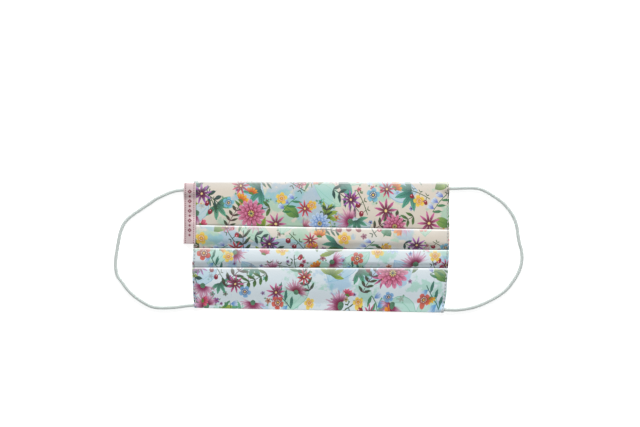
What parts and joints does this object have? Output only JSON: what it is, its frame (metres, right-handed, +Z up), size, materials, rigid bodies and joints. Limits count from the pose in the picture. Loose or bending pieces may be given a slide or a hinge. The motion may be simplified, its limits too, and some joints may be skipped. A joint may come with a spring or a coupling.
{
  "type": "cloth face mask",
  "caption": "Pleated cloth face mask lying flat, with a floral print, round elastic ear loops and a narrow ribbon sewn over one side edge.",
  "frame": {"origin": "on the table, under the middle of the folded cloth and its ribbon", "axes": "+X along the mask towards the side without the ribbon, +Y towards the upper edge, +Z up out of the printed side"},
  "size_m": [0.2887, 0.092, 0.0049],
  "materials": {
    "printed_cotton": "matte plain-weave cotton with a watercolour floral print on its face and a plain pale back",
    "woven_ribbon": "ribbed dusty pink ribbon with a dashed line along each edge",
    "knitted_elastic": "round knitted elastic, off-white and matte"
  },
  "bodies": {
    "root": {"pleated_panel": "printed_cotton", "label_ribbon": "woven_ribbon", "ear_loop_left": "knitted_elastic", "ear_loop_right": "knitted_elastic"}
  },
  "joints": []
}
